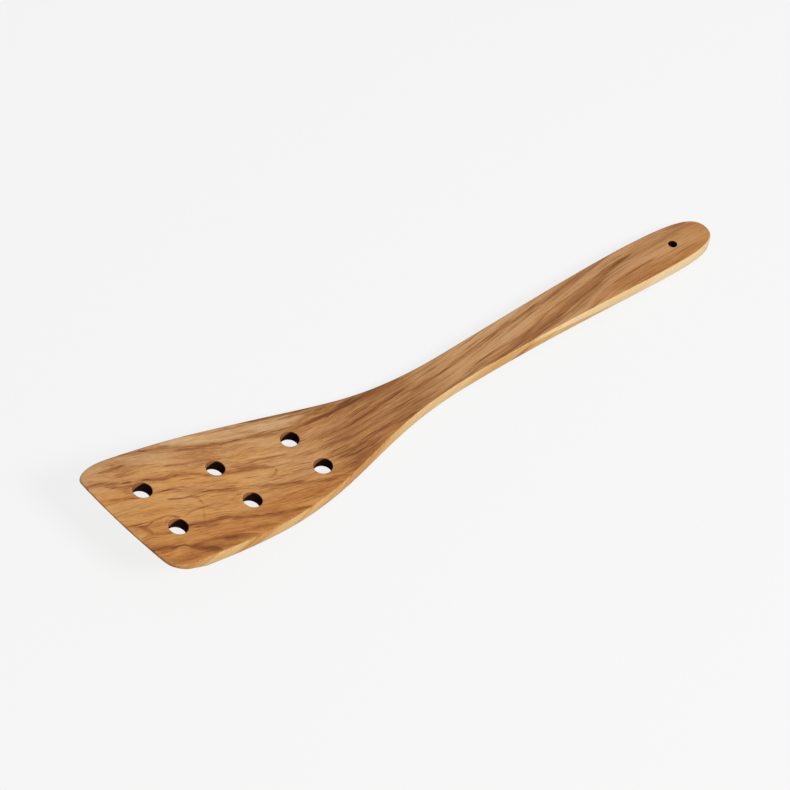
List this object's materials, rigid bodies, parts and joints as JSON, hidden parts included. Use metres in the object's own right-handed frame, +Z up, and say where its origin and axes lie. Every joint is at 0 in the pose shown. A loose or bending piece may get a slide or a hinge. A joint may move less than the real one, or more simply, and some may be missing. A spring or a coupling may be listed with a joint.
{
  "type": "wooden turner",
  "caption": "One-piece olive wood turner: a slanted, bevelled blade with round drain holes, bent up from a slim, gently arched handle with a hanging hole, for turning and lifting food.",
  "frame": {"origin": "on the table, under the middle of the turner as it lies on its heel and the end of its handle", "axes": "+X along the turner towards the handle's end, +Z up out of the blade's top face, +Y across the blade towards its longer side"},
  "size_m": [0.2962, 0.059, 0.0307],
  "materials": {
    "olive_wood": "sanded and oiled, satin"
  },
  "bodies": {
    "root": {"spatula": "olive_wood"}
  },
  "joints": []
}
